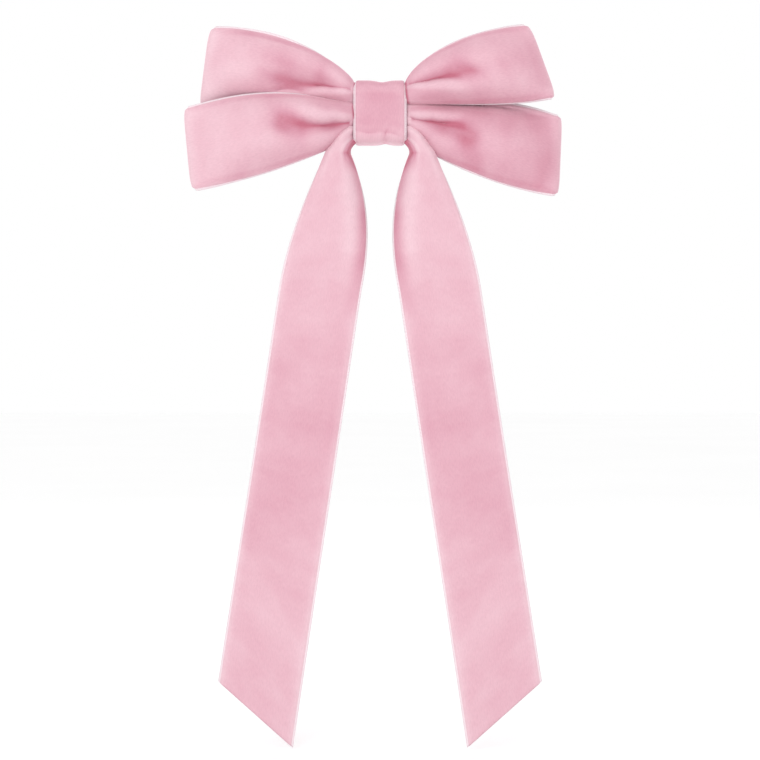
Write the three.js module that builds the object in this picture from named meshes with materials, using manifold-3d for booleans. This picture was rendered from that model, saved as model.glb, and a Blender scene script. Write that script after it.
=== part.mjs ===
// A hair barrette: a velvet ribbon bow with two long tails on an automatic ("French") steel clip.
//
// Frame, in millimetres: +Z up as worn, +X to the wearer's view right, -Y out of the bow's face and
// +Y towards the head. The origin is the middle of the channel that holds the hair.

import * as THREE from "three";
import { mergeVertices } from "three/addons/utils/BufferGeometryUtils.js";
import Module from "manifold-3d";

const wasm = await Module();
wasm.setup();

// ---------------------------------------------------------------- driving dimensions

const PILE = 1.0; // thickness of the velvet, backing and pile together
const WAIST = { thickness: 1.3 }; // a loop layer gathered inside the knot
const WINDING = { z: 2.2, halfZ: 4, wall: 0.45, halfX: 1.4 }; // the thread's turns round the waist
const GAP = 0.3; // between pieces that touch on the real object

// The knot band: its sides run straight back as far as sideTo, then draw in to the clip.
const KNOT = { halfWidth: 7.9, halfHeight: 9.5, front: -16.4, thickness: 1.2, corner: 3.4, sideTo: -8.3 };

// A tail hangs from pivotZ; its edges curve as far as bendZ and run straight to the slanted cut.
const TAIL = { pivotZ: -12.3, y: -14.3, waveY: 1.1, bendZ: -52.5 };
const GATHER = { rows: 7, startY: -12.4, startThickness: 2.2, endThickness: 1.4 };

const PLATE = { left: -39, right: 41, half: 4.6, thickness: 0.8, endInner: -2.2, sag: 4.2, span: 30 };
const EAR = { inner: 3.9, radius: 2 };
const HOLES = { sewing: 28.4, sewingRadius: 0.9, rivet: 33.5, rivetRadius: 0.8 };
const HINGE = { x: -36.8, y: 0.9, pin: 0.7, hole: 0.85, head: 1.15, headDepth: 0.45 };
const ARM = { half: 3.2, flange: 0.6, channel: 2.3, webInner: 2.9, web: 0.6, lug: 1.7 };
const ARM_TIP = { left: 30, right: 37, half: 4.2, corner: 1.6 };
const LAND = { left: -33, right: 27.5, half: 1.8, height: 0.2 };
const WINDOW = { left: 31.3, right: 36, half: 2.78 };
const LEAF = { root: -33.2, neck: -31.6, end: 28.5, rootHalf: 3, half: 2.4, thickness: 0.35 };
const LEAF_BOW = { endY: -1.55, dip: 1.05 };
const CATCH = { left: 31.8, right: 41, base: 1.75, baseInner: -1.9, metal: 0.4, legZ: 2.3, legTop: 5.2 };
const BARB = { right: 35.4, shoulder: 3.72, top: 4.9, reach: 0.7 };
const RAIL = { left: 34.9, top: 2.2 };
const PAD = { left: 37.6, root: 0.9 };
const PAD_BENDS = { knee: [2.2, 4], tip: [5.1, 4.9], tipUnder: [5.25, 4.4], kneeUnder: [2.6, 3.6] };
const RIVET = { shank: 0.6, head: 1.2, headDepth: 0.4 };
const THROUGH = [-12, 4]; // a cut's run in Y, clear of the plate on both sides

const STEEL = { color: 0xc9c9cc, roughness: 0.32, metalness: 1 };
const VELVET = { color: 0xeab6c4, roughness: 0.95, metalness: 0 };
const THREAD = { color: 0xe3a8b8, roughness: 0.8, metalness: 0 };

// ---------------------------------------------------------------- solids

const group = new THREE.Group();

// A closed geometry as a manifold-3d solid.
function solid(geometry) {
  const bare = geometry.index ? geometry.toNonIndexed() : geometry.clone();
  bare.deleteAttribute("normal");
  bare.deleteAttribute("uv");
  const merged = mergeVertices(bare, 1e-4);
  return new wasm.Manifold(
    new wasm.Mesh({
      numProp: 3,
      vertProperties: merged.attributes.position.array,
      triVerts: new Uint32Array(merged.index.array),
    }),
  );
}

// A manifold-3d solid as a geometry.
function geometryOf(made) {
  const mesh = made.getMesh();
  const geometry = new THREE.BufferGeometry();
  geometry.setAttribute("position", new THREE.BufferAttribute(mesh.vertProperties, 3));
  geometry.setIndex(new THREE.BufferAttribute(mesh.triVerts, 1));
  geometry.computeVertexNormals();
  return geometry;
}

// Solids or closed geometries joined into one solid.
function join(...parts) {
  return parts.map((p) => (p.isBufferGeometry ? solid(p) : p)).reduce((a, b) => a.add(b));
}

// A named piece of the model.
function add(name, shape, look) {
  const geometry = shape.isBufferGeometry ? shape : geometryOf(shape);
  const mesh = new THREE.Mesh(geometry, new THREE.MeshStandardMaterial(look));
  mesh.name = name;
  group.add(mesh);
  return mesh;
}

// A box between two corners.
function block(x0, x1, y0, y1, z0, z1) {
  const box = new THREE.BoxGeometry(x1 - x0, y1 - y0, z1 - z0);
  return box.translate((x0 + x1) / 2, (y0 + y1) / 2, (z0 + z1) / 2);
}

// A flat outline through the points.
function polygon(points) {
  return new THREE.Shape(points.map(([a, b]) => new THREE.Vector2(a, b)));
}

// A side view in the XY plane, run from z0 to z1.
function alongZ(shape, z0, z1, curveSegments = 10) {
  const depth = z1 - z0;
  const made = new THREE.ExtrudeGeometry(shape, { depth, bevelEnabled: false, curveSegments });
  return made.translate(0, 0, z0);
}

// An end view, its shape drawn as (y, z), run from x0 to x1.
function alongX(shape, x0, x1, curveSegments = 10) {
  const depth = x1 - x0;
  const made = new THREE.ExtrudeGeometry(shape, { depth, bevelEnabled: false, curveSegments });
  const axes = new THREE.Matrix4().set(0, 0, 1, x0, 1, 0, 0, 0, 0, 1, 0, 0, 0, 0, 0, 1);
  return made.applyMatrix4(axes);
}

// A plan view, its shape drawn as (x, z), run from y0 to y1.
function alongY(shape, y0, y1, curveSegments = 10) {
  const depth = y1 - y0;
  const made = new THREE.ExtrudeGeometry(shape, { depth, bevelEnabled: false, curveSegments });
  const axes = new THREE.Matrix4().set(1, 0, 0, 0, 0, 0, -1, y1, 0, 1, 0, 0, 0, 0, 0, 1);
  return made.applyMatrix4(axes);
}

// A round cutter along Y through the clip's plates, at x.
function drill(x, r) {
  return solid(alongY(new THREE.Shape().absarc(x, 0, r, 0, 2 * Math.PI), ...THROUGH, 5));
}

// A rectangle with round corners about (u, v).
function roundedBox(u, v, halfU, halfV, r) {
  const s = new THREE.Shape();
  s.moveTo(u - halfU + r, v - halfV);
  s.lineTo(u + halfU - r, v - halfV);
  s.absarc(u + halfU - r, v - halfV + r, r, -Math.PI / 2, 0);
  s.lineTo(u + halfU, v + halfV - r);
  s.absarc(u + halfU - r, v + halfV - r, r, 0, Math.PI / 2);
  s.lineTo(u - halfU + r, v + halfV);
  s.absarc(u - halfU + r, v + halfV - r, r, Math.PI / 2, Math.PI);
  s.lineTo(u - halfU, v - halfV + r);
  s.absarc(u - halfU + r, v - halfV + r, r, Math.PI, 1.5 * Math.PI);
  return s;
}

// A turned pin along Y with a round head at each end.
function headedPin(r, headR, y0, y1, head) {
  const profile = [
    [0, y0 - head],
    [headR, y0 - head],
    [headR, y0],
    [r, y0],
    [r, y1],
    [headR, y1],
    [headR, y1 + head],
    [0, y1 + head],
  ];
  return new THREE.LatheGeometry(profile.map(([a, b]) => new THREE.Vector2(a, b)), 20);
}

// A sheet of material: rows of points on its middle surface, thickened by thickness(row) along its
// normals. A closed sheet's last row joins its first.
function sheetSolid(rows, thickness, closed) {
  const [n, m] = [rows.length, rows[0].length];
  const row = (i) => (closed ? (i + n) % n : Math.min(Math.max(i, 0), n - 1));
  const col = (j) => Math.min(Math.max(j, 0), m - 1);
  const faces = [[], []];
  for (let i = 0; i < n; i++) {
    for (let j = 0; j < m; j++) {
      const along = rows[row(i + 1)][j].clone().sub(rows[row(i - 1)][j]);
      const across = rows[i][col(j + 1)].clone().sub(rows[i][col(j - 1)]);
      const normal = along.cross(across).normalize().multiplyScalar(thickness(i) / 2);
      faces[0].push(rows[i][j].clone().add(normal));
      faces[1].push(rows[i][j].clone().sub(normal));
    }
  }
  const points = [...faces[0], ...faces[1]];
  const at = (side, i, j) => side * n * m + row(i) * m + j;
  const index = [];
  const quad = (a, b, c, d) => index.push(a, b, c, a, c, d);
  for (let i = 0; i < (closed ? n : n - 1); i++) {
    for (let j = 0; j < m - 1; j++) {
      quad(at(0, i, j), at(0, i + 1, j), at(0, i + 1, j + 1), at(0, i, j + 1));
      quad(at(1, i, j), at(1, i, j + 1), at(1, i + 1, j + 1), at(1, i + 1, j));
    }
    quad(at(0, i, 0), at(1, i, 0), at(1, i + 1, 0), at(0, i + 1, 0));
    quad(at(0, i, m - 1), at(0, i + 1, m - 1), at(1, i + 1, m - 1), at(1, i, m - 1));
  }
  for (let j = 0; j < m - 1 && !closed; j++) {
    quad(at(0, 0, j), at(0, 0, j + 1), at(1, 0, j + 1), at(1, 0, j));
    quad(at(0, n - 1, j), at(1, n - 1, j), at(1, n - 1, j + 1), at(0, n - 1, j + 1));
  }
  const geometry = new THREE.BufferGeometry().setFromPoints(points);
  geometry.setIndex(index);
  geometry.computeVertexNormals();
  return geometry;
}

// ---------------------------------------------------------------- the bow's loops

const { lerp, smoothstep } = THREE.MathUtils;

// The edge of a ribbon in the bow's face, as (x, z).
const edge = (...p) => new THREE.CubicBezierCurve(...p.map(([x, z]) => new THREE.Vector2(x, z)));

// Each lobe's two edges, from the knot to its end fold. The seam edge is beside the other loop.
// waist, middle, edgeY and end say how far forward the front and back layers lie: at the knot, at the
// crown of the swell, along their edges, and at the fold.
const FRONT_LOOP = {
  left: {
    seam: edge([-8.2, 2.2], [-18, 3.5], [-38, 9], [-57.3, 1.8]),
    outer: edge([-8.2, -3.8], [-15, -8], [-33, -19.5], [-55.2, -23.4]),
  },
  right: {
    seam: edge([8.2, 2.4], [20, 2.2], [38, 1.2], [51.5, 3.5]),
    outer: edge([8.2, 7.6], [11.5, 16.5], [24, 24], [43.4, 25.6]),
  },
  waist: [-13.55, -12],
  middle: [-22.6, -12.4],
  edgeY: [-14.2, -12.6],
  end: [-15.2, -12.2],
  flatTo: 0,
};
const BACK_LOOP = {
  left: {
    seam: edge([-8.2, 2.4], [-18, -0.5], [-34, -3], [-54.7, 0.9]),
    outer: edge([-8.2, 7.6], [-14.5, 16.5], [-30, 25.2], [-49.9, 25.5]),
  },
  right: {
    seam: edge([8.2, 2.2], [20, 4.5], [38, 5], [55.6, -0.8]),
    outer: edge([8.2, -3.8], [14.5, -13.5], [31, -21.5], [51.4, -24.6]),
  },
  waist: [-10.45, -8.9],
  middle: [-18.2, -8.3],
  edgeY: [-10.6, -8.6],
  end: [-10.9, -8],
  flatTo: 0.36,
};

// How far a layer stands off its edges at a share q of the way across the ribbon. It stays flat
// as far as flatTo, where the other loop lies on it.
function bulge(q, flatTo) {
  const far = Math.abs((2 * Math.max(0, q - flatTo)) / (1 - flatTo) - 1);
  return 1 - far ** 2.2;
}

// A point on a lobe's layer (0 front, 1 back), at u from the knot to the fold and q across.
function lobePoint(loop, lobe, layer, u, q) {
  const place = lobe.seam.getPoint(u).lerp(lobe.outer.getPoint(u), q);
  const rise = Math.sin(Math.PI * Math.min(1, u * 0.98)) ** 0.8;
  const rim = u < 0.5 ? lerp(loop.waist[layer], loop.edgeY[layer], smoothstep(u, 0, 0.5))
    : lerp(loop.edgeY[layer], loop.end[layer], smoothstep(u, 0.5, 1));
  const swell = (loop.middle[layer] - loop.edgeY[layer]) * rise * bulge(q, loop.flatTo);
  return new THREE.Vector3(place.x, rim + swell, place.y);
}

// One closed strip: out along the left lobe's front, back along its back, and the same on the right.
function loopRows(loop) {
  const [along, across, turn, inside] = [9, 6, 4, 3];
  const rows = [];
  const thick = [];
  const put = (points, thickness) => {
    rows.push(points);
    thick.push(thickness);
  };
  const strip = (f) => Array.from({ length: across + 1 }, (_, j) => f(j / across));
  const layerRow = (lobe, layer, u, flip) => {
    const points = strip((q) => lobePoint(loop, lobe, layer, u, flip ? 1 - q : q));
    put(points, lerp(WAIST.thickness, PILE, smoothstep(u, 0, 0.3)));
  };
  // The right lobe's seam and outer edges are the other way up, so q runs the other way there.
  for (const [lobe, next, flip, first] of [
    [loop.left, loop.right, false, 0],
    [loop.right, loop.left, true, 1],
  ]) {
    for (let i = 0; i < along; i++) layerRow(lobe, first, i / along, flip);
    for (let i = 0; i <= turn; i++) {
      const a = (Math.PI * i) / turn;
      const points = strip((q) => {
        const from = lobePoint(loop, lobe, first, 1, flip ? 1 - q : q);
        const to = lobePoint(loop, lobe, 1 - first, 1, flip ? 1 - q : q);
        const radius = Math.abs(to.y - from.y) / 2;
        const middle = from.clone().add(to).multiplyScalar(0.5);
        const out = Math.sign(from.x) * radius * (Math.sin(a) - 1);
        return new THREE.Vector3(middle.x + out, middle.y + (from.y - middle.y) * Math.cos(a), middle.z);
      });
      put(points, PILE);
    }
    for (let i = along - 1; i >= 0; i--) layerRow(lobe, 1 - first, i / along, flip);
    for (let i = 1; i <= inside; i++) {
      const t = i / (inside + 1);
      const points = strip((q) => {
        const from = lobePoint(loop, lobe, 1 - first, 0, flip ? 1 - q : q);
        return from.lerp(lobePoint(loop, next, 1 - first, 0, flip ? q : 1 - q), t);
      });
      put(points, WAIST.thickness);
    }
  }
  return [rows, (i) => thick[i]];
}

function addLoops() {
  for (const [name, loop] of [["loop_front", FRONT_LOOP], ["loop_back", BACK_LOOP]]) {
    add(name, sheetSolid(...loopRows(loop), true), VELVET);
  }
}

// The thread that gathers the loops at their waist, inside the knot.
function addBindingThread() {
  const front = FRONT_LOOP.waist[0] - WAIST.thickness / 2;
  const back = BACK_LOOP.waist[1] + WAIST.thickness / 2;
  const y = (front + back) / 2;
  const halfY = (back - front) / 2 + GAP;
  const { z, halfZ, wall, halfX } = WINDING;
  const ring = roundedBox(y, z, halfY + wall, halfZ + wall, 0.8);
  ring.holes.push(new THREE.Path(roundedBox(y, z, halfY, halfZ, 0.4).getPoints(3)));
  add("binding_thread", alongX(ring, -halfX, halfX, 3), THREAD);
}

// The band round the bow's middle, which also goes round the clip's top plate.
function addKnot() {
  const inner = PLATE.half + GAP;
  const back = plateInner(KNOT.halfWidth) + GAP;
  // The band's side view in the YZ plane, grown outwards by a share of its thickness.
  const profile = (grow) => {
    const s = new THREE.Shape();
    const f = KNOT.front + KNOT.thickness - grow;
    const h = KNOT.halfHeight - KNOT.thickness + grow;
    const b = back + grow;
    const w = inner + grow;
    const r = KNOT.corner - KNOT.thickness + grow;
    const heel = 0.6;
    s.moveTo(f, -h + r);
    s.quadraticCurveTo(f, -h, f + r, -h);
    s.lineTo(KNOT.sideTo, -h);
    s.bezierCurveTo(KNOT.sideTo + 1.7, -h, b - 1 - heel, -w, b - heel, -w);
    s.quadraticCurveTo(b, -w, b, -w + heel);
    s.lineTo(b, w - heel);
    s.quadraticCurveTo(b, w, b - heel, w);
    s.bezierCurveTo(b - 1 - heel, w, KNOT.sideTo + 1.7, h, KNOT.sideTo, h);
    s.lineTo(f + r, h);
    s.quadraticCurveTo(f, h, f, h - r);
    s.closePath();
    return s;
  };
  const ring = profile(KNOT.thickness);
  ring.holes.push(new THREE.Path(profile(0).getPoints(6)));
  add("knot_wrap", alongX(ring, -KNOT.halfWidth, KNOT.halfWidth, 6), VELVET);
}

// ---------------------------------------------------------------- the tails

const TAIL_OUTER = edge([-15.7, -12], [-19.5, -20], [-27.2, -36], [-29.8, TAIL.bendZ]);
const TAIL_INNER = edge([-9.2, -12], [-5.2, -20], [-1.6, -33], [-5.4, TAIL.bendZ]);
const TAIL_CORNER = new THREE.Vector2(-47.6, -167.5);
const TAIL_TIP = new THREE.Vector2(-25.6, -187.2);

// How far forward a tail hangs: a slow wave that ends plumb under its top.
function tailY(z) {
  const t = (z - TAIL.pivotZ) / (TAIL_TIP.y - TAIL.pivotZ);
  return TAIL.y - TAIL.waveY * Math.sin(3 * Math.PI * t) * (1 - 0.5 * t);
}

function tailRows() {
  const [curved, straight, across] = [8, 12, 4];
  const rows = [];
  const put = (outer, inner) => {
    const points = [];
    for (let j = 0; j <= across; j++) {
      const p = outer.clone().lerp(inner, j / across);
      points.push(new THREE.Vector3(p.x, tailY(p.y), p.y));
    }
    rows.push(points);
  };
  for (let i = 0; i <= curved; i++) {
    const u = lerp(0.015, 1, i / curved);
    put(TAIL_OUTER.getPoint(u), TAIL_INNER.getPoint(u));
  }
  for (let i = 1; i <= straight; i++) {
    const t = i / straight;
    put(TAIL_OUTER.getPoint(1).lerp(TAIL_CORNER, t), TAIL_INNER.getPoint(1).lerp(TAIL_TIP, t));
  }
  return rows;
}

// The gathered top of a tail: from inside the knot, out past its side and down to where it hangs free.
function gatherRows() {
  const across = 3;
  const corners = (...p) => new THREE.QuadraticBezierCurve(...p.map(([x, z]) => new THREE.Vector2(x, z)));
  const top = corners([-0.4, -4.6], [-9.5, -4.9], [-15.6, -11.7]);
  const under = corners([-0.4, -7.3], [-11.4, -6], [-9.4, -11.7]);
  const rows = [];
  for (let i = 0; i <= GATHER.rows; i++) {
    const t = i / GATHER.rows;
    const [a, b] = [top.getPoint(t), under.getPoint(t)];
    const y = lerp(GATHER.startY, TAIL.y, smoothstep(t, 0.3, 1));
    rows.push(Array.from({ length: across + 1 }, (_, j) => {
      const p = a.clone().lerp(b, j / across);
      return new THREE.Vector3(p.x, y, p.y);
    }));
  }
  return rows;
}

function addTails() {
  const mirrored = (rows) => rows.map((r) => r.map((p) => new THREE.Vector3(-p.x, p.y, p.z)).reverse());
  const gathered = (i) => lerp(GATHER.startThickness, GATHER.endThickness, i / GATHER.rows);
  const parts = [
    ["tail_gather", gatherRows(), gathered],
    ["tail", tailRows(), () => PILE],
  ];
  for (const [name, rows, thickness] of parts) {
    add(`${name}_left`, sheetSolid(rows, thickness, false), VELVET);
    add(`${name}_right`, sheetSolid(mirrored(rows), thickness, false), VELVET);
  }
}

// ---------------------------------------------------------------- the clip

// The hair side of the top plate: flat ends with an arch between them.
function plateInner(x) {
  return PLATE.endInner - PLATE.sag * Math.cos((Math.PI / 2) * Math.min(1, Math.abs(x) / PLATE.span)) ** 2;
}

// The middle of the leaf spring, pressed flat as it is on hair.
function leafY(x) {
  return LEAF_BOW.endY - LEAF_BOW.dip * Math.max(0, 1 - (x / PLATE.span) ** 4);
}

// A strip of sheet metal seen from the side: its middle is f(x), from x0 to x1.
function stripProfile(f, thickness, x0, x1, steps) {
  const xs = Array.from({ length: steps + 1 }, (_, i) => lerp(x0, x1, i / steps));
  const face = (side) => xs.map((x) => [x, f(x) + (side * thickness) / 2]);
  return polygon([...face(-1), ...face(1).reverse()]);
}

function addTopPlate() {
  const middle = (x) => plateInner(x) - PLATE.thickness / 2;
  const length = (PLATE.right - PLATE.left) / 2;
  const centre = (PLATE.right + PLATE.left) / 2;
  const arch = stripProfile(middle, PLATE.thickness, PLATE.left, PLATE.right, 36);
  const plan = roundedBox(centre, 0, length, PLATE.half, 2.2);
  let plate = solid(alongZ(arch, -PLATE.half, PLATE.half)).intersect(solid(alongY(plan, ...THROUGH, 4)));
  const root = PLATE.endInner - PLATE.thickness / 2;
  for (const side of [-1, 1]) {
    // An ear that carries the hinge pin.
    const ear = new THREE.Shape();
    ear.moveTo(HINGE.x - EAR.radius, root);
    ear.lineTo(HINGE.x + EAR.radius, root);
    ear.lineTo(HINGE.x + EAR.radius, HINGE.y);
    ear.absarc(HINGE.x, HINGE.y, EAR.radius, 0, Math.PI);
    ear.closePath();
    ear.holes.push(new THREE.Path().absarc(HINGE.x, HINGE.y, HINGE.hole, 0, 2 * Math.PI, true));
    const [a, b] = [EAR.inner * side, PLATE.half * side];
    plate = join(plate, alongZ(ear, Math.min(a, b), Math.max(a, b), 6));
    // A hook that keeps the leaf spring's end.
    const [under, over, wall, lip] = [-1.05, -0.6, 3.3, 2.2];
    const hook = polygon([
      [root, EAR.inner],
      [root, wall],
      [under, wall],
      [under, lip],
      [over, lip],
      [over, EAR.inner],
    ]);
    const hookSolid = solid(alongX(hook, -33.4, -31.4));
    plate = join(plate, side > 0 ? hookSolid : hookSolid.mirror([0, 0, 1]));
  }
  // Sewing holes at the ends, and the hole for the catch's rivet.
  for (const [x, r] of [
    [-HOLES.sewing, HOLES.sewingRadius],
    [HOLES.sewing, HOLES.sewingRadius],
    [HOLES.rivet, HOLES.rivetRadius],
  ]) {
    plate = plate.subtract(drill(x, r));
  }
  add("top_plate", plate, STEEL);
}

function addHingePin() {
  const half = PLATE.half + 0.1;
  const pin = headedPin(HINGE.pin, HINGE.head, -half, half, HINGE.headDepth).rotateX(Math.PI / 2);
  add("hinge_pin", pin.translate(HINGE.x, HINGE.y, 0), STEEL);
}

function addClaspArm() {
  const outer = ARM.webInner + ARM.web;
  const start = HINGE.x - 1.2;
  const tipHalf = (ARM_TIP.right - ARM_TIP.left) / 2;
  const tip = roundedBox(ARM_TIP.left + tipHalf, 0, tipHalf, ARM_TIP.half, ARM_TIP.corner);
  let arm = join(
    block(start, ARM_TIP.left + 2, ARM.webInner, outer, -ARM.half, ARM.half),
    alongY(tip, ARM.webInner, outer, 4),
    block(LAND.left, LAND.right, outer - 0.1, outer + LAND.height, -LAND.half, LAND.half),
  );
  for (const side of [-1, 1]) {
    const [a, b] = [(ARM.half - ARM.flange) * side, ARM.half * side];
    const [z0, z1] = [Math.min(a, b), Math.max(a, b)];
    arm = join(arm, block(-35, 29, ARM.channel, ARM.webInner + 0.1, z0, z1));
    const lug = new THREE.Shape();
    lug.moveTo(HINGE.x - ARM.lug, HINGE.y);
    lug.absarc(HINGE.x, HINGE.y, ARM.lug, Math.PI, 2 * Math.PI);
    lug.lineTo(HINGE.x + ARM.lug + 0.5, ARM.channel);
    lug.lineTo(HINGE.x + ARM.lug + 0.5, ARM.webInner + 0.1);
    lug.lineTo(start, ARM.webInner + 0.1);
    lug.closePath();
    lug.holes.push(new THREE.Path().absarc(HINGE.x, HINGE.y, HINGE.hole, 0, 2 * Math.PI, true));
    arm = join(arm, alongZ(lug, z0, z1, 6));
  }
  const hole = block(WINDOW.left, WINDOW.right, ARM.webInner - 2, outer + 2, -WINDOW.half, WINDOW.half);
  add("clasp_arm", arm.subtract(solid(hole)), STEEL);
}

function addTensionLeaf() {
  const { root, neck, end, rootHalf, half } = LEAF;
  const strip = alongZ(stripProfile(leafY, LEAF.thickness, root, end, 24), -rootHalf, rootHalf);
  const outline = new THREE.Shape();
  outline.moveTo(root, -rootHalf);
  outline.lineTo(neck, -rootHalf);
  outline.lineTo(neck, -half);
  outline.lineTo(end - half, -half);
  outline.absarc(end - half, 0, half, -Math.PI / 2, Math.PI / 2);
  outline.lineTo(neck, half);
  outline.lineTo(neck, rootHalf);
  outline.lineTo(root, rootHalf);
  outline.closePath();
  add("tension_leaf", solid(strip).intersect(solid(alongY(outline, ...THROUGH, 6))), STEEL);
}

// The catch's base and the rivet that holds it to the top plate.
function addCatchBase() {
  const top = CATCH.baseInner + CATCH.metal;
  const base = solid(block(CATCH.left, CATCH.right - 0.5, CATCH.baseInner, top, -CATCH.base, CATCH.base));
  add("catch_base", base.subtract(drill(HOLES.rivet, HOLES.rivetRadius)), STEEL);

  const low = PLATE.endInner - PLATE.thickness - 0.1;
  const rivet = headedPin(RIVET.shank, RIVET.head, low, top + 0.1, RIVET.headDepth);
  add("catch_rivet", rivet.translate(HOLES.rivet, 0, 0), STEEL);
}

// A catch leg: a tall blade with its barb in the arm's window, and a low rail out to the finger pad.
function addCatchLegs() {
  const inner = CATCH.legZ - CATCH.metal / 2;
  const outer = CATCH.legZ + CATCH.metal / 2;
  const upright = (y) => [[CATCH.baseInner, inner], [CATCH.baseInner, outer], [y, outer], [y, inner]];
  const barb = polygon([
    [BARB.shoulder, CATCH.legZ],
    [BARB.shoulder, outer + BARB.reach],
    [BARB.shoulder + 0.3, outer + BARB.reach],
    [BARB.top, outer],
    [BARB.top, CATCH.legZ],
  ]);
  const pad = polygon([
    [PAD.root, inner],
    [PAD.root, outer],
    PAD_BENDS.knee,
    PAD_BENDS.tip,
    PAD_BENDS.tipUnder,
    PAD_BENDS.kneeUnder,
    [PAD.root + 0.7, inner],
  ]);
  const upper = join(
    alongX(polygon(upright(CATCH.legTop)), CATCH.left, BARB.right),
    alongX(polygon(upright(RAIL.top)), RAIL.left, CATCH.right),
    alongX(barb, CATCH.left, BARB.right),
    alongX(pad, PAD.left, CATCH.right),
  );
  add("catch_leg_upper", upper, STEEL);
  add("catch_leg_lower", upper.mirror([0, 0, 1]), STEEL);
}

addLoops();
addBindingThread();
addKnot();
addTails();
addTopPlate();
addHingePin();
addClaspArm();
addTensionLeaf();
addCatchBase();
addCatchLegs();

export default group;
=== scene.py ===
import math

import bpy
import numpy as np
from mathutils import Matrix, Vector


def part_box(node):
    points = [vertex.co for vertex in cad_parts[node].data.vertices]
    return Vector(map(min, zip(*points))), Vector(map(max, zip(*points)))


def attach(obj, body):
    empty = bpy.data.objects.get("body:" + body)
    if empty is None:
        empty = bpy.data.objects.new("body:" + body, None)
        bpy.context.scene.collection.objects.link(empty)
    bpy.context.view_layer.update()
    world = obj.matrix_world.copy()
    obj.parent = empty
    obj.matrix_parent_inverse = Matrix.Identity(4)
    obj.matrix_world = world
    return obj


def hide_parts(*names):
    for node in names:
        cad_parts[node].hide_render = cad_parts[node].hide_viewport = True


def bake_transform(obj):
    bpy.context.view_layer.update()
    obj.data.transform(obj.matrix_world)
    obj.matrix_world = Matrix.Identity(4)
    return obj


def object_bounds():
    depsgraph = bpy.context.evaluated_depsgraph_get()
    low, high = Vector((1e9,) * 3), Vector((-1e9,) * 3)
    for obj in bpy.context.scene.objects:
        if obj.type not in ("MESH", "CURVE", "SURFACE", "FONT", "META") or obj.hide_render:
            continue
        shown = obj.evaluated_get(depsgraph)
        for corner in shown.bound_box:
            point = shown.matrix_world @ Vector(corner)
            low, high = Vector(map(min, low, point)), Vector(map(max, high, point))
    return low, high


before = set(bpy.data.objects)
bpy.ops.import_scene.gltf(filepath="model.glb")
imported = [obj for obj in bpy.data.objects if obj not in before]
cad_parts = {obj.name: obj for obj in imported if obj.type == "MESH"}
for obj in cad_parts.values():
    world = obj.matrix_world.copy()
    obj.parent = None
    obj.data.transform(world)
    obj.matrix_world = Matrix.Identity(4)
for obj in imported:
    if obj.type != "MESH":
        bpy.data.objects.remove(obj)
cad_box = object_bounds()
MM = 0.001

# ---------------------------------------------------------------- what the frame says, in mm


def extent(node):
    """The low and the high corner of a CAD node's box."""
    low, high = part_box(node)
    return np.array(low) / MM, np.array(high) / MM


front_lo, front_hi = extent("loop_front")
back_lo, back_hi = extent("loop_back")
knot_lo, knot_hi = extent("knot_wrap")
tail_lo = extent("tail_left")[0]
plate_hi = extent("top_plate")[1]

RIBBON = 25.0  # the ribbon's width
PILE = 1.0  # its thickness with the pile
WOVEN = 0.42  # and at its selvedge, where there is none
SELVEDGE = 0.6  # the selvedge's width
HALF_KNOT = knot_hi[0]
TAIL_PIVOT = (12.5, -14.3, -12.3)  # where the right tail's joint is; the left one's mirrors it

# ---------------------------------------------------------------- camera, light, floor

FRAME_WIDTH = 223.44  # mm that the picture spans at the object
BOW_DEPTH = 0.015  # m from the origin to the bow's front, where it spans that
AIM = (0.0, 0.0, -79.0 * MM)
LENS = 95
SENSOR = 36
scene = bpy.context.scene
camera = bpy.data.objects.new("camera", bpy.data.cameras.new("camera"))
camera.data.lens = LENS
camera.data.sensor_width = SENSOR
distance = FRAME_WIDTH * MM * LENS / SENSOR
camera.location = (AIM[0], AIM[1] - distance - BOW_DEPTH, AIM[2])
camera.rotation_euler = (math.pi / 2, 0, 0)
camera.data.clip_start = 0.01
scene.collection.objects.link(camera)
scene.camera = camera
scene.view_settings.view_transform = "Standard"

world = bpy.data.worlds.new("studio")
world.use_nodes = True
world.node_tree.nodes["Background"].inputs["Color"].default_value = (1.0, 1.0, 1.0, 1)
world.node_tree.nodes["Background"].inputs["Strength"].default_value = 1.0
scene.world = world


def softbox(name, place, target, size, power):
    """A round area light at a place in metres, turned to its target."""
    data = bpy.data.lights.new(name, "AREA")
    data.shape = "DISK"
    data.size = size
    data.energy = power
    light = bpy.data.objects.new(name, data)
    light.location = place
    aim = Vector(target) - Vector(place)
    light.rotation_euler = aim.to_track_quat("-Z", "Y").to_euler()
    scene.collection.objects.link(light)


softbox("key", (-0.25, -0.6, 0.45), (0, 0, -0.05), 0.5, 0.9)
softbox("front", (-0.1, -0.85, 0.0), (0, 0, -0.06), 0.5, 1.5)
softbox("fill", (0.55, -0.5, 0.05), (0, 0, -0.08), 0.5, 0.1)
softbox("rim", (0.1, 0.6, 0.5), (0, 0, -0.05), 0.4, 0.6)

# ---------------------------------------------------------------- materials


MIX_A, MIX_B, MIXED = 6, 7, 2  # a Mix node's colour sockets: two inputs and the output


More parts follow.
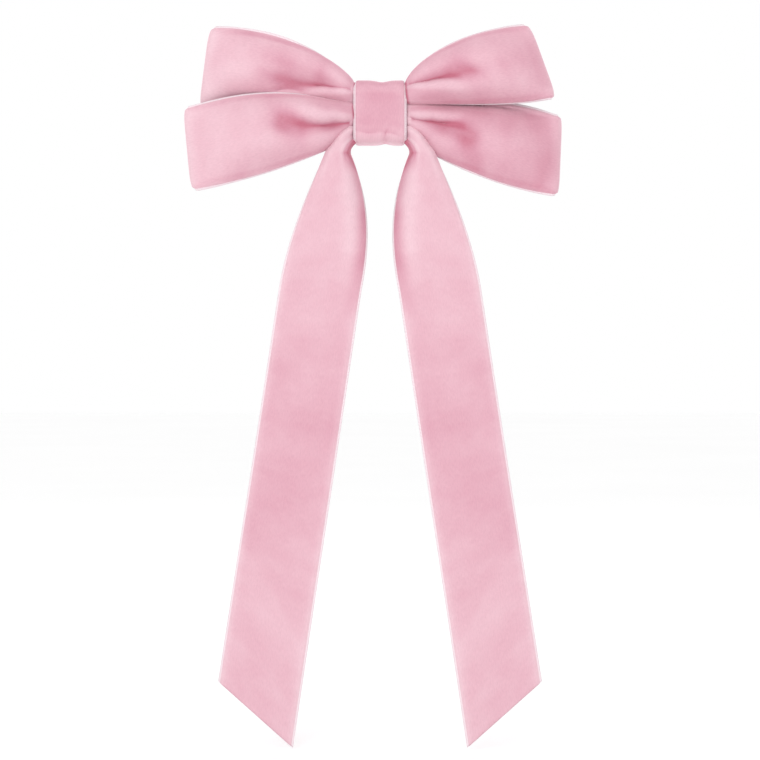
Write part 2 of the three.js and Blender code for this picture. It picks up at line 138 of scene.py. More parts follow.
class Nodes:
    """A material's node tree, built a node at a time."""

    def __init__(self, name):
        self.material = bpy.data.materials.new(name)
        self.material.use_nodes = True
        self.tree = self.material.node_tree
        self.shader = self.tree.nodes["Principled BSDF"]

    def node(self, kind, **values):
        """A new node, with values for its own settings and for its inputs."""
        made = self.tree.nodes.new(kind)
        for key, value in values.items():
            if isinstance(getattr(made, key, None), (str, bool)):
                setattr(made, key, value)
            else:
                made.inputs[key.replace("_", " ")].default_value = value
        return made

    def link(self, source, socket, target, into):
        self.tree.links.new(source.outputs[socket], target.inputs[into])

    def uv(self, stretch):
        """The ribbon's layout, which is in metres along and across, times stretch."""
        coord = self.node("ShaderNodeUVMap")
        mapping = self.node("ShaderNodeMapping")
        mapping.inputs["Scale"].default_value = stretch
        self.link(coord, "UV", mapping, "Vector")
        return mapping

    def ramp(self, source, stops):
        """Colours by a source's first output, from stops of a place and a colour."""
        made = self.node("ShaderNodeValToRGB")
        ramp = made.color_ramp
        while len(ramp.elements) < len(stops):
            ramp.elements.new(0.5)
        for element, (at, colour) in zip(ramp.elements, stops):
            element.position = at
            element.color = (*colour, 1)
        self.link(source, 0, made, "Fac")
        return made

    def multiply(self, base, socket, layer):
        """A colour times another, on the new node's output MIXED."""
        made = self.node("ShaderNodeMix", data_type="RGBA", blend_type="MULTIPLY")
        made.inputs["Factor"].default_value = 1.0
        self.link(base, socket, made, MIX_A)
        self.link(layer, "Color", made, MIX_B)
        return made

    def bump(self, layers):
        """Bumps from (source, socket, strength, depth in metres), one on the other."""
        previous = None
        for source, socket, strength, depth in layers:
            made = self.node("ShaderNodeBump")
            made.inputs["Strength"].default_value = strength
            made.inputs["Distance"].default_value = depth
            self.link(source, socket, made, "Height")
            if previous:
                self.link(previous, "Normal", made, "Normal")
            previous = made
        self.link(previous, "Normal", self.shader, "Normal")

    def set(self, **values):
        """Constants for the shader's inputs."""
        for key, value in values.items():
            self.shader.inputs[key.replace("_", " ")].default_value = value


def velvet_pile(name, shades):
    """Short dense pile in five shades, from painted shade in a hollow to painted sheen on a fold, chosen by
    the painted light on its surface and soft patches.
    """
    m = Nodes(name)
    patches = m.node("ShaderNodeTexNoise", Scale=1.0, Detail=5.0, Roughness=0.6)
    m.link(m.uv((80, 60, 1)), "Vector", patches, "Vector")
    # The painted light and shade that each ribbon carries on its points.
    painted_light = m.node("ShaderNodeAttribute", attribute_name="nap_and_painted_light")
    calm = m.node("ShaderNodeMath", operation="MULTIPLY_ADD")
    calm.inputs[1].default_value = 0.6
    calm.inputs[2].default_value = 0.2
    m.link(patches, 0, calm, 0)
    sway = m.node("ShaderNodeMath", operation="MULTIPLY_ADD")
    sway.inputs[1].default_value = 0.5
    m.link(painted_light, "Fac", sway, 0)
    m.link(calm, 0, sway, 2)
    nap_and_painted_light = m.node("ShaderNodeTexNoise", Scale=1.0, Detail=2.0, Roughness=0.6)
    m.link(m.uv((900, 2600, 1)), "Vector", nap_and_painted_light, "Vector")
    colour = m.ramp(sway, list(zip((0.0, 0.3, 0.5, 0.72, 1.0), shades)))
    grain = m.ramp(nap_and_painted_light, [(0.25, (0.9, 0.88, 0.89)), (0.75, (1.0, 1.0, 1.0))])
    m.link(m.multiply(colour, "Color", grain), MIXED, m.shader, "Base Color")
    m.bump([(patches, "Fac", 0.3, 0.0006), (nap_and_painted_light, "Fac", 0.35, 0.00012)])
    m.set(Roughness=0.92, Specular_IOR_Level=0.12)
    m.set(Sheen_Weight=0.85, Sheen_Roughness=0.36, Sheen_Tint=(1.0, 0.74, 0.81, 1))
    return m.material


def ribbon_back(name, colour):
    """A velvet ribbon's woven back: satin with fine crosswise ribs, slubs and a slow change of shade."""
    m = Nodes(name)
    ribs = m.node("ShaderNodeTexWave", wave_type="BANDS", bands_direction="X", Scale=1.0, Distortion=0.8)
    m.link(m.uv((2600, 240, 1)), "Vector", ribs, "Vector")
    slubs = m.node("ShaderNodeTexNoise", Scale=1.0, Detail=4.0, Roughness=0.65)
    m.link(m.uv((900, 70, 1)), "Vector", slubs, "Vector")
    shade = m.node("ShaderNodeTexNoise", Scale=1.0, Detail=2.0)
    m.link(m.uv((45, 30, 1)), "Vector", shade, "Vector")
    darker, paler = tuple(0.94 * c for c in colour), tuple(1.04 * c for c in colour)
    tint = m.ramp(shade, [(0.3, darker), (0.7, paler)])
    socket = "Color"
    for source, low in ((slubs, 0.93), (ribs, 0.9)):
        layer = m.ramp(source, [(0.25, (low, low, low)), (0.75, (1.0, 1.0, 1.0))])
        tint = m.multiply(tint, socket, layer)
        socket = MIXED
    m.link(tint, socket, m.shader, "Base Color")
    m.bump([(slubs, "Fac", 0.35, 0.00015), (ribs, "Fac", 0.4, 0.0001)])
    m.set(Roughness=0.5, Specular_IOR_Level=0.35, Sheen_Weight=0.2, Sheen_Roughness=0.4)
    return m.material


def selvedge(name, dark, light):
    """The woven edge: pale, tight, with the weft's little loops."""
    m = Nodes(name)
    loops = m.node("ShaderNodeTexWave", wave_type="BANDS", bands_direction="X", Scale=1.0, Distortion=1.2)
    m.link(m.uv((800, 60, 1)), "Vector", loops, "Vector")
    tint = m.ramp(loops, [(0.15, dark), (0.6, light)])
    m.link(tint, "Color", m.shader, "Base Color")
    m.bump([(loops, "Fac", 0.5, 0.0002)])
    m.set(Roughness=0.8, Specular_IOR_Level=0.2)
    m.set(Sheen_Weight=0.6, Sheen_Roughness=0.4, Sheen_Tint=(1.0, 0.94, 0.95, 1))
    return m.material


def plated_steel(name, colour, along, roughness):
    """Nickel-plated sheet steel with rolling marks and a few dull spots."""
    m = Nodes(name)
    coord = m.node("ShaderNodeTexCoord")
    mapping = m.node("ShaderNodeMapping")
    mapping.inputs["Scale"].default_value = along
    m.link(coord, "Object", mapping, "Vector")
    marks = m.node("ShaderNodeTexNoise", Scale=1.0, Detail=4.0, Roughness=0.6)
    m.link(mapping, "Vector", marks, "Vector")
    spots = m.node("ShaderNodeTexNoise", Scale=260.0, Detail=3.0)
    m.link(coord, "Object", spots, "Vector")
    tint = m.ramp(spots, [(0.35, tuple(0.92 * c for c in colour)), (0.65, colour)])
    m.link(tint, "Color", m.shader, "Base Color")
    rough = m.node("ShaderNodeMapRange")
    rough.inputs["To Min"].default_value = roughness - 0.08
    rough.inputs["To Max"].default_value = roughness + 0.12
    m.link(marks, "Fac", rough, "Value")
    m.link(rough, "Result", m.shader, "Roughness")
    m.bump([(marks, "Fac", 0.15, 0.00005)])
    m.set(Metallic=1.0)
    return m.material


def spun_thread(name, colour):
    """Sewing thread, with its twist."""
    m = Nodes(name)
    coord = m.node("ShaderNodeTexCoord")
    twist = m.node("ShaderNodeTexWave", wave_type="BANDS", bands_direction="DIAGONAL", Scale=900.0)
    m.link(coord, "Object", twist, "Vector")
    tint = m.ramp(twist, [(0.2, tuple(0.75 * c for c in colour)), (0.8, colour)])
    m.link(tint, "Color", m.shader, "Base Color")
    m.bump([(twist, "Fac", 0.5, 0.0001)])
    m.set(Roughness=0.7, Sheen_Weight=0.3)
    return m.material


# From the pile in painted shade deep in a hollow to its painted sheen on a fold.
PINKS = (
    (0.49, 0.155, 0.215),
    (0.575, 0.27, 0.34),
    (0.63, 0.34, 0.41),
    (0.68, 0.41, 0.475),
    (0.74, 0.51, 0.565),
)
pile = velvet_pile("velvet_pile", PINKS)
satin = ribbon_back("velvet_back", (0.75, 0.45, 0.53))
edging = selvedge("velvet_selvedge", (0.78, 0.58, 0.64), (0.84, 0.75, 0.78))

# ---------------------------------------------------------------- ribbon meshes


def smooth(t, a, b):
    """0 up to a, 1 from b, and a soft ramp between."""
    t = np.clip((t - a) / (b - a), 0, 1)
    return t * t * (3 - 2 * t)


def bezier(points, t):
    """The cubic curve of four points, at each t."""
    p = np.asarray(points, float)
    t = np.atleast_1d(t)[:, None]
    return (1 - t) ** 3 * p[0] + 3 * (1 - t) ** 2 * t * p[1] + 3 * (1 - t) * t**2 * p[2] + t**3 * p[3]


def across(columns, width, edging_mm):
    """Places across a ribbon, 0 to 1, with a narrow selvedge at each side."""
    edge = edging_mm / width
    inside = np.linspace(edge, 1 - edge, columns)[1:-1]
    return np.concatenate([[0, edge * 0.55, edge], inside, [1 - edge, 1 - edge * 0.55, 1]])


def outward(grid, closed, flip):
    """The direction in which the pile stands, at each point of a ribbon's grid."""
    along = np.roll(grid, -1, 0) - np.roll(grid, 1, 0)
    if not closed:
        along[0], along[-1] = grid[1] - grid[0], grid[-1] - grid[-2]
    normal = np.cross(along, np.gradient(grid, axis=1))
    normal /= np.linalg.norm(normal, axis=2, keepdims=True) + 1e-12
    return -normal if flip else normal


def nap_and_painted_light(grid, normal, rim, closed, painted_light, shade_shown):
    """How light the pile is painted: painted shade in a hollow, painted highlight on a ridge and painted
    sheen on round folds and along the edges, added to the painted light that is given.

    Where the share given for this is below 1, the painted shade and highlight of hollows and ridges show
    less.
    """
    reach = 5 if closed else 4
    aside = 4
    wide = np.pad(grid, ((reach, reach), (0, 0), (0, 0)), mode="wrap" if closed else "edge")
    near = (wide[2 * reach:] + wide[:-2 * reach]) / 2
    beside = np.pad(grid, ((0, 0), (aside, aside), (0, 0)), mode="edge")
    near = near + (beside[:, 2 * aside:] + beside[:, :-2 * aside]) / 2 - 2 * grid
    # The five outermost columns have too few neighbours on one side, so they take the sixth's value.
    near[:, :5] = near[:, 5:6]
    near[:, -5:] = near[:, -6:-5]
    # Painted shade where the surface bends into a hollow, and painted highlight where it bends out into a
    # ridge.
    hollow = np.einsum("ijk,ijk->ij", near, normal)
    hollow = hollow * smooth(rim, 0.5, 3.5)[None, :]
    # Painted sheen: the pile is painted palest on a round fold and along the edges, where it is seen from
    # its side.
    turned = smooth(1 - np.abs(normal[..., 1]), 0.35, 0.95) * smooth(-hollow, -0.05, 0.15)
    painted_sheen = 0.45 * turned + 0.6 * np.exp(-((rim / 1.7) ** 2))[None, :]
    return np.clip(-shade_shown * np.tanh(hollow / 0.55) + painted_sheen + painted_light, -1.2, 1.2)


def shell_faces(n, m, closed, flip):
    """The quads of a ribbon of n rows and m columns with two sides, and how many are front and back."""
    rows = n if closed else n - 1

    def at(side, row, column):
        return side * n * m + row * m + column

    i, j = np.meshgrid(np.arange(rows), np.arange(m - 1), indexing="ij")
    i2 = (i + 1) % n
    front = np.stack([at(0, i, j), at(0, i2, j), at(0, i2, j + 1), at(0, i, j + 1)], -1).reshape(-1, 4)
    back = np.stack([at(1, i, j), at(1, i, j + 1), at(1, i2, j + 1), at(1, i2, j)], -1).reshape(-1, 4)
    k = np.arange(rows)
    k2 = (k + 1) % n
    last = m - 1
    faces = [front, back]
    faces.append(np.stack([at(0, k, 0), at(1, k, 0), at(1, k2, 0), at(0, k2, 0)], -1))
    faces.append(np.stack([at(0, k, last), at(0, k2, last), at(1, k2, last), at(1, k, last)], -1))
    if not closed:
        c = np.arange(m - 1)
        end = n - 1
        faces.append(np.stack([at(0, 0, c), at(0, 0, c + 1), at(1, 0, c + 1), at(1, 0, c)], -1))
        faces.append(np.stack([at(0, end, c), at(1, end, c), at(1, end, c + 1), at(0, end, c + 1)], -1))
    faces = np.concatenate(faces)
    if flip:
        faces = faces[:, ::-1]
    return faces, len(front), len(back)


def ribbon(name, grid, q, closed=False, width=RIBBON, flip=False, painted_light=0.0, shade_shown=1.0):
    """A velvet ribbon on a grid of middle points in mm, rows along it and columns across at shares q."""
    n, m, _ = grid.shape
    rows = n if closed else n - 1
    normal = outward(grid, closed, flip)
    rim = np.minimum(q, 1 - q) * width
    # Painted light and shade for the pile, from its hollows, ridges, folds and edges.
    shade = nap_and_painted_light(grid, normal, rim, closed, painted_light, shade_shown)
    thick = (WOVEN + (PILE - WOVEN) * smooth(rim, 0.35, 1.1))[None, :, None]
    # The pile stands on the outer side; the back stays flush with the selvedge.
    outer = grid + normal * (thick - 0.5 * WOVEN)
    inner = grid - normal * 0.5 * WOVEN
    verts = np.concatenate([outer.reshape(-1, 3), inner.reshape(-1, 3)]) * MM
    faces, fronts, backs = shell_faces(n, m, closed, flip)
    mesh = bpy.data.meshes.new(name)
    mesh.vertices.add(len(verts))
    mesh.vertices.foreach_set("co", verts.ravel())
    mesh.loops.add(faces.size)
    mesh.loops.foreach_set("vertex_index", faces.ravel().astype(np.int32))
    mesh.polygons.add(len(faces))
    mesh.polygons.foreach_set("loop_start", np.arange(0, faces.size, 4, dtype=np.int32))
    # Slot 0 is the pile, 1 the satin back and 2 the selvedge, with the cut ends.
    slot = np.zeros(len(faces), np.int32)
    slot[fronts:fronts + backs] = 1
    slot[fronts + backs:] = 2
    middle = (q[:-1] + q[1:]) / 2
    narrow = np.tile(np.minimum(middle, 1 - middle) < q[2], rows)
    slot[:fronts][narrow] = 2
    slot[fronts:fronts + backs][narrow] = 2
    # A layout in metres along and across, so that nap, ribs and edge keep their scale.
    step = np.linalg.norm(np.diff(grid, axis=0), axis=2).mean(1)
    run = np.concatenate([[0], np.cumsum(step)])
    row = (faces % (n * m)) // m
    u = run[row] * MM
    if closed:
        seam = (row == 0) & (row.max(1, keepdims=True) == n - 1)
        u = np.where(seam, (run[-1] + step.mean()) * MM, u)
    uv = np.stack([u, (q * width * MM)[faces % m]], -1)
    mesh.update(calc_edges=True)
    layer = mesh.uv_layers.new(name="UVMap")
    layer.data.foreach_set("uv", uv.ravel())
    # The painted light and shade, kept on each point for the pile's colour.
    values = mesh.attributes.new("nap_and_painted_light", "FLOAT", "POINT")
    values.data.foreach_set("value", np.concatenate([shade.ravel(), shade.ravel()]).astype(np.float32))
    mesh.polygons.foreach_set("material_index", slot)
    mesh.polygons.foreach_set("use_smooth", np.ones(len(faces), bool))
    for material in (pile, satin, edging):
        mesh.materials.append(material)
    mesh.validate()
    made = bpy.data.objects.new(name, mesh)
    scene.collection.objects.link(made)
    return made, float(run[-1])


# ---------------------------------------------------------------- the loops


class Lobe:
    """Half of a loop: its seam and outer edges in the bow's face, and the crease out of the knot."""

    def __init__(self, seam, outer, crease, fade, depth, ridges, tuck, corner, phase, waist, under=0.0):
        # Four points (x, z) of each edge, from the knot to the fold, and how far its corners are cut back.
        self.seam, self.outer, self.corner = seam, outer, corner
        # The crease's four places across, where it has faded, and its depth near the knot and further out.
        self.crease, self.fade, self.depth = crease, fade, depth
        # How high the velvet stands on the crease's two sides, and a dent's u, place across and depth.
        self.ridges, self.tuck = ridges, tuck
        # Where its slight waves begin, and how far across the other loop lies on it at most.
        self.phase, self.under = phase, under
        # How far it is drawn forward beside the knot, and its outer part back.
        self.waist = waist

    def covered(self, u):
        """How far across from the seam the other loop lies on it."""
        return self.under * np.sin(np.pi * np.clip(u, 0.02, 0.98)) ** 0.6

    def place(self, u, q):
        """x and z at u from the knot to the fold and q across, as arrays."""
        a, b = bezier(self.seam, u), bezier(self.outer, u)
        point = a[:, None, :] * (1 - q)[None, :, None] + b[:, None, :] * q[None, :, None]
        # The end's corners are a little rounded.
        pull = self.corner * np.abs(2 * q - 1) ** 7
        point[..., 0] -= np.sign(b[-1, 0]) * pull[None, :] * smooth(u, 0.8, 1)[:, None]
        return point


def furrow(q, at, steep, gentle):
    """A fold line 1 deep at a share across, steep on its seam side and gentle on the other."""
    s = q - at
    return np.exp(-((s / np.where(s < 0, steep, gentle)) ** 2))


def rim_depth(loop, layer, u):
    """How deep a layer's edges lie, from the knot past the loop's middle to its end."""
    waist, edge, end = loop["waist"][layer], loop["edge"][layer], loop["end"][layer]
    return waist + (edge - waist) * smooth(u, 0, 0.5) + (end - edge) * smooth(u, 0.5, 1)


def section(lobe, q, flat):
    """A lobe's swelling across, which starts beside the part that the other loop lies flat on."""
    s = np.clip((q - flat) / (1 - flat), 0, 1)
    # The selvedges lie flat for a moment before the velvet swells.
    s = np.clip((s - 0.03) / 0.94, 0, 1)
    if lobe.under:
        return np.sin(np.pi / 2 * np.clip(s / 0.5, 0, 1)) * (1 - np.clip((s - 0.45) / 0.55, 0, 1) ** 2.4)
    return 1 - np.abs(2 * s - 1) ** 2.4


def rising(u):
    """A lobe's swelling along: out of the knot at once, and down to the fold in a round fall."""
    swelling = np.sin(np.pi * np.minimum(u, 0.5)) ** 0.72
    falling = np.cos(np.pi / 2 * np.clip(2 * u - 1, 0, 1) ** 1.7)
    return np.where(u < 0.5, swelling, falling)


def creased(lobe, whole, flat, u, q):
    """A front layer's swelling with its crease, a dent and slight waves."""
    crease = bezier([[c] for c in lobe.crease], np.clip(u[:, 0] / lobe.fade, 0, 1))
    inner, outer = lobe.ridges
    ridge = inner + (outer - inner) * smooth(q, crease - 0.15, crease + 0.15)
    shape = whole * (1 + (1 - smooth(u, 0.12, 0.6 * lobe.fade)) * (ridge - 1))
    near, far = lobe.depth
    deep = smooth(u, 0.0, 0.05) * (near + (far - near) * smooth(u, 0.12, 0.4))
    deep = deep * (1 - smooth(u, 0.55 * lobe.fade, 1.1 * lobe.fade))
    steep = 0.055 + 0.03 * smooth(u, 0.08, 0.22) + 0.14 * smooth(u, 0.25, 0.58)
    shape = shape - deep * furrow(q, crease, steep, 0.13 + 0.42 * u)
    at_u, at_q, deep_by = lobe.tuck
    lean = (u - at_u) / 0.07 + (q - at_q) / 0.2
    dent = np.exp(-(lean**2) * 0.5 - ((q - at_q) / 0.17) ** 2 - ((u - at_u) / 0.13) ** 2)
    shape = np.maximum(shape - deep_by * dent, 0)
    wander = np.sin(5.1 * u + 3.3 * q + lobe.phase) * np.sin(6.7 * q - 2.2 * u + 1.7 * lobe.phase)
    shape = shape * (1 + 0.05 * wander * smooth(u, 0.1, 0.4))
    if lobe.under:
        shape = shape * smooth(q, flat * 0.75, flat * 1.05 + 0.02)
    return shape


BESIDE_LIFT = 1.8  # how far a lobe rises beside the other loop's edge
BACK_FROM, BACK_SHARE = 0.035, 0.92  # where across the front a back layer begins, and how wide it is


def lobe_layer(loop, lobe, layer, u, q):
    """The middle surface of a lobe's front (0) or back (1) layer."""
    point = lobe.place(u, q)
    if layer == 1:
        # The back is drawn in a little at both edges, so the front's selvedges cover it.
        tight = lobe.place(u, BACK_FROM + BACK_SHARE * q)
        point = point + (tight - point) * smooth(u, 0, 0.15)[:, None, None]
    u, q = u[:, None], q[None, :]
    rim = rim_depth(loop, layer, u)
    flat = lobe.covered(u)
    whole = section(lobe, q, flat)
    shape = whole
    rise = rising(u)
    # At the waist it is drawn forward beside the seam, and a lower lobe's outer part back, behind the tail.
    held = 1 - smooth(u, 0.08, 0.34)
    forward, back = lobe.waist
    if layer == 0:
        shape = creased(lobe, whole, flat, u, q)
        wide = np.linalg.norm(point[:, -1] - point[:, 0], axis=1)[:, None]
        beside = smooth((q - flat) * wide, -0.4, 0.5) if lobe.under else smooth(q * wide, 0, 0.9)
        proud = beside * (1 - smooth(q, 0.5, 0.85) * (back > 0))
        rim = rim - forward * held * proud
        if lobe.under:
            # It rises beside the other loop's edge, which so hardly stands up from it.
            clear = (1 - held) * (1 - smooth(u, 0.6, 0.9))
            rim = rim - BESIDE_LIFT * clear * beside * (1 - np.clip(whole * rise, 0, 1))
    rim = rim + back * (1 if layer == 0 else 0.65) * held * smooth(q, 0.35, 0.8)
    y = rim + (loop["middle"][layer] - loop["edge"][layer]) * rise * shape
    return np.stack([point[..., 0], y, point[..., 1]], -1)


# The depths (y) of each loop's front and back layer: at the knot, at the edges, at the end, and on top.
FRONT = dict(waist=(-13.6, -12.1), edge=(-14.1, -13.2), end=(-15.0, -12.0), middle=(-22.4, -12.7))
BACK = dict(waist=(-10.7, -8.9), edge=(-11.5, -8.6), end=(-11.6, -7.9), middle=(-18.8, -8.3))
K = HALF_KNOT
FRONT["left"] = Lobe(
    seam=[(-K, 2.5), (-17, 2.6), (-26, 10.2), (front_lo[0] + 0.5, 1.6)],
    outer=[(-K, -7.5), (-16, -12), (-34, -19.6), (front_lo[0] + 2.8, front_lo[2] + 0.1)],
    crease=(0.51, 0.41, 0.69, 0.25), fade=0.68, depth=(0.58, 0.55), ridges=(0.95, 0.75),
    tuck=(0.6, 0.45, 0.06), corner=0.9, phase=0.4, waist=(0.8, 1.8))
FRONT["right"] = Lobe(
    seam=[(K, 2.5), (20, 2.2), (38, 1.2), (front_hi[0] - 0.5, 3.4)],
    outer=[(K, 8.7), (11.5, 16.8), (24, 24), (43.6, front_hi[2] - 0.2)],
    crease=(0.73, 0.38, 0.55, 0.50), fade=0.66, depth=(0.4, 0.5), ridges=(0.85, 0.8),
    tuck=(0.56, 0.52, 0.04), corner=1.2, phase=2.0, waist=(0.8, 0))
BACK["left"] = Lobe(
    seam=[(-K, 2.4), (-18, -0.5), (-34, -3), (-53.0, 0.9)],
    outer=[(-K, 8.7), (-14.2, 17.0), (-29.5, 25.6), (-49.9, back_hi[2])],
    crease=(0.54, 0.46, 0.46, 0.66), fade=0.9, depth=(0.4, 0.6), ridges=(0.8, 0.85),
    tuck=(0.66, 0.54, 0.0), corner=1.0, phase=3.3, under=0.25, waist=(3.0, 0))
BACK["right"] = Lobe(
    seam=[(K, 2.2), (20, 4.5), (38, 5), (53.3, -0.4)],
    outer=[(K, -7.5), (15.5, -13.5), (31, -21.5), (52.3, back_lo[2] + 0.1)],
    crease=(0.38, 0.48, 0.31, 0.66), fade=0.62, depth=(0.66, 0.5), ridges=(0.85, 0.75),
    tuck=(0.5, 0.6, 0.03), corner=0.7, phase=5.0, under=0.12, waist=(3.0, 0.4))

LOBE_ROWS = 84
TURN = np.linspace(0, 1, 14)[1:-1]  # the rows round a fold or through the knot, as shares of the way
FOLD_SLOPE = 0.62  # how far the front has turned in radians where the fold begins


def round_fold(out, home, first, u):
    """The rows round a loop's end, for which both of its layers are drawn in."""
    front, back = (out, home) if first == 0 else (home, out)
    side = np.sign(out[-1, 0, 0])
    radius = np.abs(out[-1, :, 1] - home[-1, :, 1]) / (1 + math.cos(FOLD_SLOPE))
    rear = np.maximum(out[-1, :, 1], home[-1, :, 1])
    drawn = smooth(u, 0.3, 1)[:, None]
    front[..., 0] -= side * radius.mean() * (1 - math.sin(FOLD_SLOPE)) * drawn
    back[..., 0] -= side * radius.mean() * drawn
    # The fold goes on from the front's slope, so it starts partly turned and ends flat at the back.
    angle = FOLD_SLOPE + (np.pi - FOLD_SLOPE) * TURN[:, None]
    if first == 1:
        angle = angle[::-1]
    centre = front[-1, :, 0] - side * radius * math.sin(FOLD_SLOPE)
    x = centre + side * radius * np.sin(angle)
    y = rear - radius - radius * np.cos(angle)
    z = out[-1, :, 2] + (home[-1, :, 2] - out[-1, :, 2]) * TURN[:, None]
    return np.stack([x, y, z], -1)


def through_knot(home, onward, depth):
    """The rows that join one lobe to the other inside the knot, at a depth."""
    inside = TURN[:, None, None]
    bridge = home[:1] * (1 - inside) + onward * inside
    level = np.sin(np.pi * inside[..., 0]) ** 0.5
    bridge[..., 1] += (depth - bridge[..., 1]) * level
    return bridge


def loop_grid(loop, q):
    """The closed strip: out along one lobe, round its fold and back, through the knot, and the same again.

    With it comes how much of the painted shade and highlight of hollows and ridges shows in its pile, from
    0 to 1.
    """
    u = np.linspace(0, 1, LOBE_ROWS) ** 1.15
    lobes, places = (loop["left"], loop["right"]), (q, 1 - q)
    rows, shade_shown = [], []
    # The strip goes out along the left lobe's front (0) and along the right lobe's back (1).
    for first in (0, 1):
        lobe, place = lobes[first], places[first]
        out = lobe_layer(loop, lobe, first, u, place)
        home = lobe_layer(loop, lobe, 1 - first, u, place)
        fold = round_fold(out, home, first, u)
        onward = lobe_layer(loop, lobes[1 - first], 1 - first, u[:1], places[1 - first])
        bridge = through_knot(home, onward, loop["waist"][1 - first])
        rows += [out, fold, home[::-1], bridge]
        shown = [np.ones(part.shape[:2]) for part in (out, fold, home, bridge)]
        if lobe.under:
            # Beside the other loop's edge the painted shade of the hollow is mostly left out of the front's
            # pile.
            away = (place[None, :] - lobe.covered(u)[:, None]) / 0.14
            edge = 1 - 0.85 * np.exp(-(away**2))
            shown[2 * first] = edge if first == 0 else edge[::-1]
        shade_shown += shown
    return np.concatenate(rows), np.concatenate(shade_shown)


def painted_side_light(grid):
    """Painted light on the loops: paler towards the left lobes' ends, where the light falls, and painted
    shade deeper on the right and below.
    """
    x, z = grid[..., 0], grid[..., 2]
    return -0.22 + 0.35 * smooth(-x, 32, 55) - 0.3 * smooth(x, 5, 30) * (1 - 0.6 * smooth(z, -1, 7))


COLUMNS = 46
q = across(COLUMNS, RIBBON, SELVEDGE)
for name, loop in (("ribbon_loop_front", FRONT), ("ribbon_loop_back", BACK)):
    grid, shade_shown = loop_grid(loop, q)
    # Painted light by place, and a painted lift of light beside the other loop's edge, against the shade
    # that falls there.
    painted_light = painted_side_light(grid) + 0.5 * (1 - shade_shown)
    piece, length = ribbon(name, grid, q, closed=True, flip=loop is BACK, painted_light=painted_light, shade_shown=shade_shown)
    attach(piece, "bow_and_plate")
    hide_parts(name.replace("ribbon_", ""))

# ---------------------------------------------------------------- the knot


KNOT_CORNER = 2.6  # the radius of the band's corners in front
KNOT_BEND = 0.6  # and behind
KNOT_FRONT = knot_lo[1] + PILE
KNOT_BACK = knot_hi[1] - 0.3 * PILE
KNOT_TOP = knot_hi[2] - 0.9 * PILE
PLATE_TOP = plate_hi[2] + 0.7  # where the band lies round the plate's edges


def knot_ring(rows):
    """The band's way round the waist and the clip's plate: y and z, in even steps."""
    path = []
    for a in np.linspace(0, np.pi / 2, 12):
        y = KNOT_FRONT + KNOT_CORNER * (1 - math.cos(a))
        path.append((y, KNOT_TOP - KNOT_CORNER * (1 - math.sin(a))))
    start, end = KNOT_FRONT + KNOT_CORNER, KNOT_BACK - KNOT_BEND
    for t in np.linspace(0, 1, 24)[1:]:
        z = KNOT_TOP - (KNOT_TOP - PLATE_TOP) * smooth(t, 0.55, 0.98)
        path.append((start + (end - start) * t, z))
    for a in np.linspace(0, np.pi / 2, 8)[1:]:
        path.append((end + KNOT_BEND * math.sin(a), PLATE_TOP - KNOT_BEND * (1 - math.cos(a))))
    path = np.array(path)
    ring = np.concatenate([path, path[::-1] * [1, -1], path[:1]])
    step = np.append(0, np.cumsum(np.linalg.norm(np.diff(ring, axis=0), axis=1)))
    at = np.linspace(0, step[-1], rows, endpoint=False)
    return np.interp(at, step, ring[:, 0]), np.interp(at, step, ring[:, 1])


def knot_grid(q, rows=150):
    """The band, slightly domed in front and dipped at its top."""
    y, z = knot_ring(rows)
    x = (2 * q - 1)[None, :] * (HALF_KNOT - 0.1)
    y = np.repeat(y[:, None], len(q), 1)
    z = np.repeat(z[:, None], len(q), 1)
    facing = smooth(-y, -KNOT_FRONT - 3.5, -KNOT_FRONT - 0.2)
    y = y - 0.6 * facing * (1 - (z / KNOT_TOP) ** 2) + 0.75 * facing * (x / HALF_KNOT) ** 6
    top = smooth(z, KNOT_TOP - 3, KNOT_TOP)
    foot = smooth(-z, KNOT_TOP - 2.5, KNOT_TOP)
    z = z - 0.55 * top * np.exp(-((x - 0.6) / 2.2) ** 2) + 0.5 * foot * np.exp(-((x - 1.6) / 1.6) ** 2)
    # A soft wrinkle runs across it near its foot, and a short tuck crosses that.
    up = z + KNOT_TOP
    wrinkle = (up - (2.3 - 0.09 * x + 0.3 * np.sin(0.5 * x + 0.4))) / 0.55
    y = y + 0.3 * np.exp(-(wrinkle**2)) * facing * (1 - 0.35 * np.cos(0.45 * x) ** 2)
    tuck = (x - 0.9 - 0.3 * up) / 0.55
    y = y + 0.35 * np.exp(-(tuck**2) - ((up - 2.0) / 1.3) ** 2) * facing
    return np.stack([x + 0 * y, y, z], -1)


KNOT_WIDTH = 2 * HALF_KNOT
KNOT_SELVEDGE = 0.85
KNOT_COLUMNS = 34
q_knot = across(KNOT_COLUMNS, KNOT_WIDTH, KNOT_SELVEDGE)
grid = knot_grid(q_knot)
z = grid[..., 2]
# Painted light on the knot: painted shade along its top and a paler, lit foot.
painted_light = -0.12 - 0.3 * smooth(z, 5.5, 8.0) + 0.4 * smooth(-z, 5.0, 8.5)
piece, length = ribbon(
    "ribbon_knot", grid, q_knot, closed=True, width=KNOT_WIDTH, flip=True, painted_light=painted_light, shade_shown=0.6)
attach(piece, "bow_and_plate")
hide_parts("knot_wrap")

# ---------------------------------------------------------------- the tails


TAIL_STRAIGHT = -52.5  # below this the edges run straight to the cut
CUT_RISE, CUT_WIDTH = 19.7, 22.0  # the slanted cut's height and width
# A tail's rows: out of the knot, on to its full width, and down to the cut.
GATHER = np.linspace(0, 1, 34)
FLARE = np.linspace(0, 1, 70)[1:]
FALL = np.linspace(0, 1, 170)[1:]


